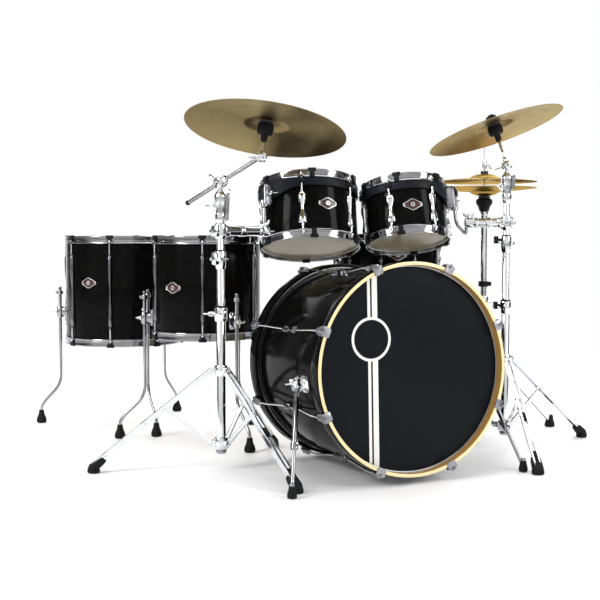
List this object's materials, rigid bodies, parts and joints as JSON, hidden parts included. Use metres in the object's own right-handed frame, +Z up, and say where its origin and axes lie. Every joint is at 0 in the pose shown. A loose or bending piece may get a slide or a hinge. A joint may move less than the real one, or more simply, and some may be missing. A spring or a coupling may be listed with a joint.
{
  "type": "acoustic drum kit",
  "caption": "Acoustic drum kit with bass drum, rack toms, floor toms, snare, hi-hat and crash cymbals on folding double-braced stands.",
  "frame": {"origin": "middle of the whole kit's footprint on the floor it stands on", "axes": "+Z up; -Y is the front, where the bass drum's front head faces; +X is the hi-hat side; the drummer sits towards +Y"},
  "size_m": [1.6869, 1.5484, 1.0722],
  "materials": {
    "lacquer": "deep gloss black lacquer over bent plywood",
    "hoop_wood": "clear-varnished natural maple with a black outer face",
    "black_nickel": "polished black nickel plate over steel",
    "front_film": "satin blue-black polyester film with two pale stripes",
    "clear_film": "translucent polyester film",
    "coated_film": "white coated polyester film",
    "chrome": "bright chrome plate over steel tube",
    "bronze": "lathed cast bronze",
    "rubber": "matt black rubber",
    "aluminium": "cast aluminium, satin"
  },
  "bodies": {
    "kit_base": {"bass_shell": "lacquer", "bass_front_hoop": "hoop_wood", "bass_front_head": "front_film", "bass_rear_hoop": "lacquer", "bass_rear_head": "clear_film", "floor_tom_14_shell": "lacquer", "floor_tom_14_top": "black_nickel", "floor_tom_14_bottom": "black_nickel", "floor_tom_16_shell": "lacquer", "floor_tom_16_top": "black_nickel", "floor_tom_16_bottom": "black_nickel", "snare_stand": "chrome", "hihat_base": "chrome", "left_stand_base": "chrome", "right_stand_base": "chrome"},
    "bass_spur_left": {"bass_spur_left": "chrome"},
    "bass_spur_right": {"bass_spur_right": "chrome"},
    "floor_tom_14_leg_1": {"floor_tom_14_leg_1": "black_nickel"},
    "floor_tom_14_leg_2": {"floor_tom_14_leg_2": "black_nickel"},
    "floor_tom_14_leg_3": {"floor_tom_14_leg_3": "black_nickel"},
    "floor_tom_16_leg_1": {"floor_tom_16_leg_1": "black_nickel"},
    "floor_tom_16_leg_2": {"floor_tom_16_leg_2": "black_nickel"},
    "floor_tom_16_leg_3": {"floor_tom_16_leg_3": "black_nickel"},
    "left_stand_brace_1": {"left_stand_brace_1": "chrome"},
    "left_stand_leg_1": {"left_stand_leg_1": "chrome"},
    "left_stand_brace_2": {"left_stand_brace_2": "chrome"},
    "left_stand_leg_2": {"left_stand_leg_2": "chrome"},
    "left_stand_brace_3": {"left_stand_brace_3": "chrome"},
    "left_stand_leg_3": {"left_stand_leg_3": "chrome"},
    "left_stand_collar": {"left_stand_collar": "chrome"},
    "left_stand_mast": {"left_stand_mast": "chrome"},
    "right_stand_brace_1": {"right_stand_brace_1": "chrome"},
    "right_stand_leg_1": {"right_stand_leg_1": "chrome"},
    "right_stand_brace_2": {"right_stand_brace_2": "chrome"},
    "right_stand_leg_2": {"right_stand_leg_2": "chrome"},
    "right_stand_brace_3": {"right_stand_brace_3": "chrome"},
    "right_stand_leg_3": {"right_stand_leg_3": "chrome"},
    "right_stand_collar": {"right_stand_collar": "chrome"},
    "right_stand_mast": {"right_stand_mast": "chrome"},
    "rack_tom_12": {"rack_tom_12_shell": "lacquer", "rack_tom_12_top": "black_nickel", "rack_tom_12_bottom": "black_nickel", "rack_tom_12_mount": "black_nickel"},
    "rack_tom_10": {"rack_tom_10_shell": "lacquer", "rack_tom_10_top": "black_nickel", "rack_tom_10_bottom": "black_nickel", "rack_tom_10_mount": "black_nickel"},
    "left_boom": {"left_boom": "chrome"},
    "left_crash_tilter": {"left_crash_tilter": "chrome"},
    "left_crash_cymbal": {"left_crash_cymbal": "bronze"},
    "right_crash_tilter": {"right_crash_tilter": "chrome"},
    "right_crash_cymbal": {"right_crash_cymbal": "bronze"},
    "snare": {"snare_basket": "chrome", "snare_shell": "lacquer", "snare_top": "coated_film"},
    "hihat_upper": {"hihat_upper_tube": "chrome", "hihat_lower_cymbal": "bronze"},
    "hihat_rod": {"hihat_rod": "chrome", "hihat_upper_cymbal": "bronze"},
    "hihat_pedal": {"hihat_pedal": "aluminium"}
  },
  "joints": [
    {"name": "bass_spur_left_slide", "type": "slide", "parent": "kit_base", "child": "bass_spur_left", "axis": [-0.2564, -0.4495, -0.8557], "range_m": [-0.03, 0]},
    {"name": "bass_spur_right_slide", "type": "slide", "parent": "kit_base", "child": "bass_spur_right", "axis": [0.1983, -0.4342, -0.8787], "range_m": [-0.03, 0]},
    {"name": "floor_tom_14_leg_1_slide", "type": "slide", "parent": "kit_base", "child": "floor_tom_14_leg_1", "axis": [0, 0, 1], "range_m": [-0.04, 0.08]},
    {"name": "floor_tom_14_leg_2_slide", "type": "slide", "parent": "kit_base", "child": "floor_tom_14_leg_2", "axis": [0, 0, 1], "range_m": [-0.04, 0.08]},
    {"name": "floor_tom_14_leg_3_slide", "type": "slide", "parent": "kit_base", "child": "floor_tom_14_leg_3", "axis": [0, 0, 1], "range_m": [-0.04, 0.08]},
    {"name": "floor_tom_16_leg_1_slide", "type": "slide", "parent": "kit_base", "child": "floor_tom_16_leg_1", "axis": [0, 0, 1], "range_m": [-0.04, 0.08]},
    {"name": "floor_tom_16_leg_2_slide", "type": "slide", "parent": "kit_base", "child": "floor_tom_16_leg_2", "axis": [0, 0, 1], "range_m": [-0.04, 0.08]},
    {"name": "floor_tom_16_leg_3_slide", "type": "slide", "parent": "kit_base", "child": "floor_tom_16_leg_3", "axis": [0, 0, 1], "range_m": [-0.04, 0.08]},
    {"name": "left_stand_fold", "type": "hinge", "parent": "kit_base", "child": "left_stand_brace_1", "pos_m": [-0.45751, -0.29673, 0.078], "axis": [0.6691, -0.7431, 0], "range_deg": [0, 41.5]},
    {"name": "left_stand_leg_1_fold", "type": "hinge", "parent": "left_stand_brace_1", "child": "left_stand_leg_1", "pos_m": [-0.3598, -0.20875, 0.18258], "axis": [0.6691, -0.7431, 0], "range_deg": [-83.01, 0]},
    {"name": "left_stand_brace_2_fold", "type": "hinge", "parent": "kit_base", "child": "left_stand_brace_2", "pos_m": [-0.50833, -0.30753, 0.078], "axis": [0.309, 0.9511, 0], "range_deg": [0, 41.5]},
    {"name": "left_stand_leg_2_fold", "type": "hinge", "parent": "left_stand_brace_2", "child": "left_stand_leg_2", "pos_m": [-0.63338, -0.2669, 0.18258], "axis": [0.309, 0.9511, 0], "range_deg": [-83.01, 0]},
    {"name": "left_stand_brace_3_fold", "type": "hinge", "parent": "kit_base", "child": "left_stand_brace_3", "pos_m": [-0.47356, -0.34614, 0.078], "axis": [-0.9781, -0.2079, 0], "range_deg": [0, 41.5]},
    {"name": "left_stand_leg_3_fold", "type": "hinge", "parent": "left_stand_brace_3", "child": "left_stand_leg_3", "pos_m": [-0.44623, -0.47475, 0.18258], "axis": [-0.9781, -0.2079, 0], "range_deg": [-83.01, 0]},
    {"name": "left_stand_collar_slide", "type": "slide", "parent": "kit_base", "child": "left_stand_collar", "axis": [0, 0, 1], "range_m": [0, 0.12223]},
    {"name": "left_stand_height", "type": "slide", "parent": "kit_base", "child": "left_stand_mast", "axis": [0, 0, 1], "range_m": [-0.03, 0.1]},
    {"name": "right_stand_fold", "type": "hinge", "parent": "kit_base", "child": "right_stand_brace_1", "pos_m": [0.46579, -0.41085, 0.078], "axis": [0.165, -0.9863, 0], "range_deg": [0, 41.5]},
    {"name": "right_stand_leg_1_fold", "type": "hinge", "parent": "right_stand_brace_1", "child": "right_stand_leg_1", "pos_m": [0.59546, -0.38915, 0.18258], "axis": [0.165, -0.9863, 0], "range_deg": [-83.01, 0]},
    {"name": "right_stand_brace_2_fold", "type": "hinge", "parent": "kit_base", "child": "right_stand_brace_2", "pos_m": [0.41712, -0.39265, 0.078], "axis": [0.7716, 0.6361, 0], "range_deg": [0, 41.5]},
    {"name": "right_stand_leg_2_fold", "type": "hinge", "parent": "right_stand_brace_2", "child": "right_stand_leg_2", "pos_m": [0.33349, -0.2912, 0.18258], "axis": [0.7716, 0.6361, 0], "range_deg": [-83.01, 0]},
    {"name": "right_stand_brace_3_fold", "type": "hinge", "parent": "kit_base", "child": "right_stand_brace_3", "pos_m": [0.42569, -0.4439, 0.078], "axis": [-0.9367, 0.3502, 0], "range_deg": [0, 41.5]},
    {"name": "right_stand_leg_3_fold", "type": "hinge", "parent": "right_stand_brace_3", "child": "right_stand_leg_3", "pos_m": [0.37965, -0.56705, 0.18258], "axis": [-0.9367, 0.3502, 0], "range_deg": [-83.01, 0]},
    {"name": "right_stand_collar_slide", "type": "slide", "parent": "kit_base", "child": "right_stand_collar", "axis": [0, 0, 1], "range_m": [0, 0.12223]},
    {"name": "right_stand_height", "type": "slide", "parent": "kit_base", "child": "right_stand_mast", "axis": [0, 0, 1], "range_m": [-0.03, 0.1]},
    {"name": "rack_tom_12_tilt", "type": "hinge", "parent": "left_stand_mast", "child": "rack_tom_12", "pos_m": [-0.3138, -0.2678, 0.687], "axis": [0.3107, 0.9434, 0.1163], "range_deg": [-6, 1.5]},
    {"name": "rack_tom_10_tilt", "type": "hinge", "parent": "right_stand_mast", "child": "rack_tom_10", "pos_m": [0.3312, -0.3498, 0.714], "axis": [-0.8466, 0.5322, 0], "range_deg": [-6, 6]},
    {"name": "left_boom_tilt", "type": "hinge", "parent": "left_stand_mast", "child": "left_boom", "pos_m": [-0.4798, -0.3168, 0.825], "axis": [-0.8039, -0.5948, 0], "range_deg": [-20, 12]},
    {"name": "left_crash_angle", "type": "hinge", "parent": "left_boom", "child": "left_crash_tilter", "pos_m": [-0.3985, -0.42668, 0.89391], "axis": [-0.018, 0.9861, -0.1651], "range_deg": [-15, 15]},
    {"name": "left_crash_rock", "type": "hinge", "parent": "left_crash_tilter", "child": "left_crash_cymbal", "pos_m": [-0.37516, -0.40868, 0.99884], "axis": [0.9766, -0.018, -0.2142], "range_deg": [-6, 6], "stiffness_Nm_per_rad": 4},
    {"name": "right_crash_angle", "type": "hinge", "parent": "right_stand_mast", "child": "right_crash_tilter", "pos_m": [0.4362, -0.41583, 0.89282], "axis": [0.0266, 0.9656, -0.2585], "range_deg": [-12, 12]},
    {"name": "right_crash_rock", "type": "hinge", "parent": "right_crash_tilter", "child": "right_crash_cymbal", "pos_m": [0.4072, -0.37834, 1.02985], "axis": [0.9794, 0.0266, 0.2], "range_deg": [-6, 6], "stiffness_Nm_per_rad": 4},
    {"name": "snare_height", "type": "slide", "parent": "kit_base", "child": "snare", "axis": [0, 0, 1], "range_m": [-0.03, 0.03]},
    {"name": "hihat_height", "type": "slide", "parent": "kit_base", "child": "hihat_upper", "axis": [0, 0, 1], "range_m": [-0.03, 0.08]},
    {"name": "hihat_pedal_press", "type": "hinge", "parent": "kit_base", "child": "hihat_pedal", "pos_m": [0.37681, 0.1192, 0.022], "axis": [0.7431, 0.6691, 0], "range_deg": [0, 8], "stiffness_Nm_per_rad": 40, "springref_deg": -8.59},
    {"name": "hihat_rod_slide", "type": "slide", "parent": "hihat_upper", "child": "hihat_rod", "axis": [0, 0, 1], "range_m": [-0.0185, 0]}
  ],
  "couplings": [
    {"joint": "left_stand_leg_1_fold", "follows": "left_stand_fold", "ratio": -2},
    {"joint": "left_stand_brace_2_fold", "follows": "left_stand_fold", "ratio": 1},
    {"joint": "left_stand_leg_2_fold", "follows": "left_stand_fold", "ratio": -2},
    {"joint": "left_stand_brace_3_fold", "follows": "left_stand_fold", "ratio": 1},
    {"joint": "left_stand_leg_3_fold", "follows": "left_stand_fold", "ratio": -2},
    {"joint": "left_stand_collar_slide", "follows": "left_stand_fold", "m_per_rad": 0.16806},
    {"joint": "right_stand_leg_1_fold", "follows": "right_stand_fold", "ratio": -2},
    {"joint": "right_stand_brace_2_fold", "follows": "right_stand_fold", "ratio": 1},
    {"joint": "right_stand_leg_2_fold", "follows": "right_stand_fold", "ratio": -2},
    {"joint": "right_stand_brace_3_fold", "follows": "right_stand_fold", "ratio": 1},
    {"joint": "right_stand_leg_3_fold", "follows": "right_stand_fold", "ratio": -2},
    {"joint": "right_stand_collar_slide", "follows": "right_stand_fold", "m_per_rad": 0.16806},
    {"joint": "hihat_rod_slide", "follows": "hihat_pedal_press", "m_per_rad": -0.12892}
  ]
}
